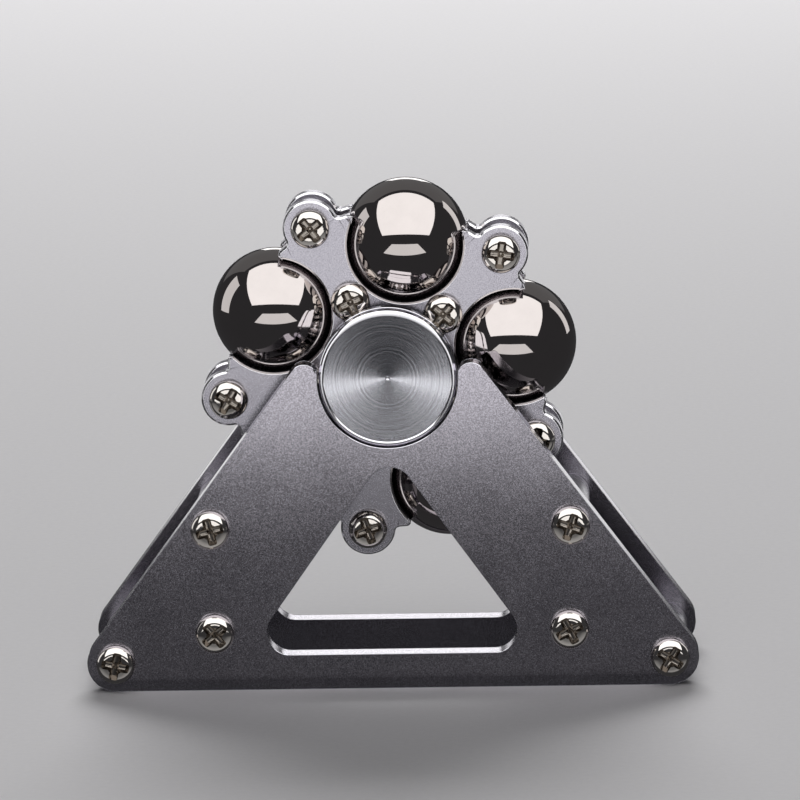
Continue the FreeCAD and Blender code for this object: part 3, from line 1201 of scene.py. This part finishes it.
    def spacer(self, number: int) -> None:
        """Turn one outer spacer."""
        node = f"rotor_spacer_{number}"
        spacer = sleeve(f"spacer_{number}", node, self.finishes.spacer, self.spacer_radius,
                        self.hole_radius, self.spacer_edge, 56)
        hand_over(spacer, "rotor", [node])

    def build(self) -> None:
        """Make the plates, balls, spacers and carrier."""
        for facing in Facing:
            self.star(facing)
        for number in range(1, ARMS + 1):
            node = f"rotor_ball_{number}"
            name = f"weight_ball_{number}"
            ball = ground_ball(name, self.finishes.ball, middle(node), self.ball_radius)
            hand_over(ball, "rotor", [node])
            self.spacer(number)
        self.carrier()


@dataclass
class Hub:
    """Two finger caps, joined through the bearing by a stud in a barrel."""

    finishes: Finishes
    radius: float = 8.75
    back: float = 6.9
    face: float = 11.2
    boss_radius: float = 3.9
    boss_end: float = 2.38125
    groove: tuple[float, float] = (8.5, 9.75)
    groove_depth: float = 0.35
    chamfer: float = 0.28
    lip: float = 0.30
    lip_foot: float = 0.05
    lip_top: float = 0.04
    soft: float = 0.06
    round_drop: float = 0.10
    dish: float = 0.14
    sag: float = 0.62
    pit: float = 0.3
    barrel_radius: float = 3.15
    barrel_end: float = 2.2
    stud_radius: float = 1.5
    stud_end: float = 6.2
    stud_bore: float = 1.52

    def cap_section(self, pen: Pen, side: int, tail: Sequence[Point]) -> None:
        """Draw a cap's half section from the middle of its face round to the axis at its back.

        Args:
            pen: the pen.
            side: -1 for the front cap, 1 for the rear one.
            tail: the last points, from the boss to the axis.
        """
        r, face, c, e, drop = self.radius, self.face, self.chamfer, self.soft, self.round_drop
        low, lip, floor = face - self.dish, r - c - self.lip, r - self.groove_depth
        inner, outer = self.groove
        points = [
            (self.pit, low - self.sag), (lip - 2 * e, low), (lip, low + self.lip_foot),
            (lip + e, face - self.lip_top), (lip + 2 * e, face), (r - c, face), (r - 2 * e, face - drop),
            (r, face - c), (r, outer + e), (r - e, outer), (floor, outer), (floor, inner), (r - e, inner),
            (r, inner - e), (r, self.back + c), (r - 2 * e, self.back + drop), (r - c, self.back),
            (self.boss_radius, self.back), *tail,
        ]
        pen.start((0.0, side * (low - self.sag - self.pit)))
        pen.line(*[(a, side * b) for a, b in points])

    def cap(self, facing: Facing, tail: Sequence[Point]) -> None:
        """Turn one cap and give its dished face the ring finish."""
        name, side = facing.name.lower(), facing.value
        height = middle(f"hub_{name}_cap").z
        finishes = [self.finishes.cap_rim, self.finishes.cap_face]
        cap = turned(f"cap_{name}", finishes, (0, 0, height),
                     lambda pen: self.cap_section(pen, side, tail), 160)
        clear()
        dish_radius = self.radius - self.chamfer - self.lip - 0.1
        for polygon in cap.data.polygons:
            c = polygon.center / MM
            within = self.face - 1 < c.y * side < self.face - self.soft
            if within and math.hypot(c.x, c.z - height) < dish_radius:
                polygon.material_index = 1
        smooth(cap, 30.0)
        hand_over(cap, "hub", [f"hub_{name}_cap"])

    def build(self) -> None:
        """Make the caps."""
        end, wall, bore, s = self.boss_end, self.barrel_radius, self.stud_bore, self.stud_radius
        barrel = [(self.boss_radius, end), (wall, end), (wall, 0.1 - self.barrel_end),
                  (wall - 0.1, -self.barrel_end), (bore, -self.barrel_end), (bore, self.stud_end),
                  (0, self.stud_end)]
        stud = [(self.boss_radius, end), (s, end), (s, 0.2 - self.stud_end), (s - 0.2, -self.stud_end),
                (0, -self.stud_end)]
        self.cap(Facing.FRONT, barrel)
        self.cap(Facing.REAR, stud)


@dataclass
class Bearing:
    """The bearing's own pieces, kept from the frame and given their finishes."""

    finishes: Finishes

    def build(self) -> None:
        """Dress every bearing piece."""
        finishes = {"bearing_cage": self.finishes.cage, "bearing_balls": self.finishes.race_ball}
        plain = ("inner_ring", "outer_ring", "front_shield", "rear_shield")
        for name in (*(f"bearing_{part}" for part in plain), *finishes):
            node = frame["nodes"][name]
            for slot in node.material_slots:
                slot.material = finishes.get(name, self.finishes.bearing)
            LOG.info("%-24s dressed", name)


# ---------------------------------------------------------------- ground, light and camera


class Seen(Enum):
    """What a lamp acts on."""

    METAL = "reflections only"
    GROUND = "matte surfaces only"


@dataclass(frozen=True)
class Softbox:
    """A rectangular lamp that looks at a point."""

    name: str
    place: Triple
    size: tuple[float, float]
    radiance: float
    seen: Seen = Seen.METAL
    aim: Triple = (0.0, 0.0, 0.035)
    spares: Sequence[str] = ()
    grid: float = 180.0

    def build(self) -> None:
        """Add the lamp; a grid below 180 degrees keeps its light out of flat views."""
        clear()
        bpy.ops.object.light_add(type="AREA", location=self.place)
        lamp = bpy.context.active_object
        lamp.name = lamp.data.name = self.name
        lamp.rotation_euler = (Vector(self.aim) - Vector(self.place)).to_track_quat("-Z", "Y").to_euler()
        lamp.data.shape = "RECTANGLE"
        lamp.data.size, lamp.data.size_y = self.size
        lamp.data.spread = math.radians(self.grid)
        lamp.data.energy = self.radiance * math.pi * self.size[0] * self.size[1]
        lamp.visible_camera = False
        lamp.visible_diffuse = self.seen is not Seen.METAL
        lamp.visible_glossy = self.seen is not Seen.GROUND
        if self.spares:
            group = bpy.data.collections.new(self.name + "_spares")
            for name in self.spares:
                group.objects.link(bpy.data.objects[name])
            lamp.light_linking.receiver_collection = group
            for member in group.collection_objects:
                member.light_linking.link_state = "EXCLUDE"
        LOG.info("lamp %s", self.name)


@dataclass
class Studio:
    """Pale ground, soft lamps and the camera."""

    finishes: Finishes
    elevation: float = 10.77
    azimuth: float = -1.543
    roll: float = -1.11
    target: Triple = (1.24, 0.0, 35.15)
    distance: float = 852.5
    focal: float = 8.30125
    sensor: float = 36.0
    surround: Triple = (0.042, 0.042, 0.045)
    caps: Sequence[str] = ("cap_front", "cap_rear")
    balls: Sequence[str] = tuple(f"weight_ball_{number}" for number in range(1, ARMS + 1))
    strip_edges: Sequence[float] = (0.168, 0.205, 0.350, 0.450, 0.580, 0.740, 0.940, 1.2)
    cap_strip: float = 0.205
    strip_ratio: float = 1.7
    near_y: float = 0.085

    def lamps(self) -> list[Softbox]:
        """List the lamps: panels in the air, lit stretches of ground, and the ground's own light."""
        both = (*self.caps, *self.balls)
        lamps = [
            Softbox("key", (0.035, -0.159, 0.470), (1.0, 0.844), 1.7, aim=(0.035, 0.135, 0.066)),
            Softbox("left_panel", (-0.46, 0.11, 0.178), (0.21, 0.354), 1.0),
            Softbox("right_panel", (0.40, 0.26, 0.20), (0.12, 0.32), 1.1),
            Softbox("top_haze", (0.0, 0.60, 0.55), (1.4, 0.8), 0.12),
            Softbox("ground_lamp", (0.0, 1.3, 1.05), (1.0, 0.7), 9.5, Seen.GROUND),
            Softbox("ground_fill", (0.0, -0.5, 0.9), (1.0, 0.8), 0.8, Seen.GROUND),
        ]
        for name, side, spread, radiance in (("front", -1, 1.0, 1.25), ("rear", 1, 0.8, 1.0)):
            panel = (0.0, 1.2 * side, 0.07)
            lamps.append(Softbox(f"{name}_panel", panel, (1.6 * spread, 0.14), radiance, spares=both))
            for near, far in zip(self.strip_edges, self.strip_edges[1:]):
                y = side * (near + far) / 2
                size = (self.strip_ratio * spread * abs(y), far - near)
                spares = self.balls if near == self.cap_strip else both
                lamps.append(Softbox(f"{name}_strip_{near:.2f}", (0.0, y, 0.002), size, radiance,
                                     aim=(0.0, y, 0.5), spares=spares))
            y = side * self.near_y
            for grid, spares in ((154.0, both), (110.0, self.balls)):
                lamps.append(Softbox(f"{name}_near_{grid:.0f}", (0.0, y, 0.0005), (0.44, 0.140), 0.28,
                                     aim=(0.0, y, 0.5), spares=spares, grid=grid))
        for name, x in (("left_ground", -0.70), ("right_ground", 0.70)):
            lamps.append(Softbox(name, (x, 0.10, 0.002), (1.0, 0.36), 0.15, aim=(x, 0.10, 0.5),
                                 spares=self.balls))
        others = tuple(name for name in bpy.data.objects.keys() if name not in self.balls)
        lamps.append(Softbox("ball_card", (0.0, -0.2285, 0.0293), (0.258, 0.155), 1.1,
                             aim=(0.0, 0.1525, 0.9533), spares=others))
        lamps.append(Softbox("rear_edge_panel", (0.0, 1.3, 0.40), (0.35, 0.30), 2.0))
        return lamps

    def ground(self) -> None:
        """Lay the ground."""
        clear()
        bpy.ops.mesh.primitive_plane_add(size=6.0, location=(0, 0, 0))
        floor = bpy.context.active_object
        floor.name = floor.data.name = "ground"
        floor.data.materials.append(self.finishes.ground)
        floor.visible_glossy = False

    def world(self) -> None:
        """Set a dim even surround."""
        world = bpy.data.worlds.new("surround")
        world.use_nodes = True
        world.node_tree.nodes["Background"].inputs["Color"].default_value = (*self.surround, 1.0)
        bpy.context.scene.world = world

    def camera(self) -> None:
        """Place the camera at its viewing angle."""
        turn = Matrix.Rotation(math.radians(-self.azimuth), 4, "Z")
        turn @= Matrix.Rotation(math.radians(90 - self.elevation), 4, "X")
        turn @= Matrix.Rotation(math.radians(self.roll), 4, "Z")
        away = turn @ Vector((0, 0, self.distance))
        clear()
        bpy.ops.object.camera_add()
        camera = bpy.context.active_object
        camera.matrix_world = Matrix.Translation((Vector(self.target) + away) * MM) @ turn
        camera.data.sensor_width = self.sensor
        camera.data.lens = self.focal * self.sensor
        camera.data.clip_start, camera.data.clip_end = 0.01, 20.0
        bpy.context.scene.camera = camera

    def build(self) -> None:
        """Make the ground, the lamps and the camera."""
        self.ground()
        self.world()
        self.camera()
        for lamp in self.lamps():
            lamp.build()
        bpy.context.scene.view_settings.view_transform = "Standard"


def main() -> None:
    """Build every sub-assembly, then the studio."""
    logging.basicConfig(level=logging.INFO, format="%(message)s")
    hub_height = middle("hub_front_cap").z
    finishes = Finishes(hub_height)
    stand = Stand(finishes)
    rotor = Rotor(finishes)
    stand.build()
    rotor.build()
    Screws(finishes).build(stand, rotor)
    Hub(finishes).build()
    Bearing(finishes).build()
    Studio(finishes).build()


if __name__ == "__main__":
    main()
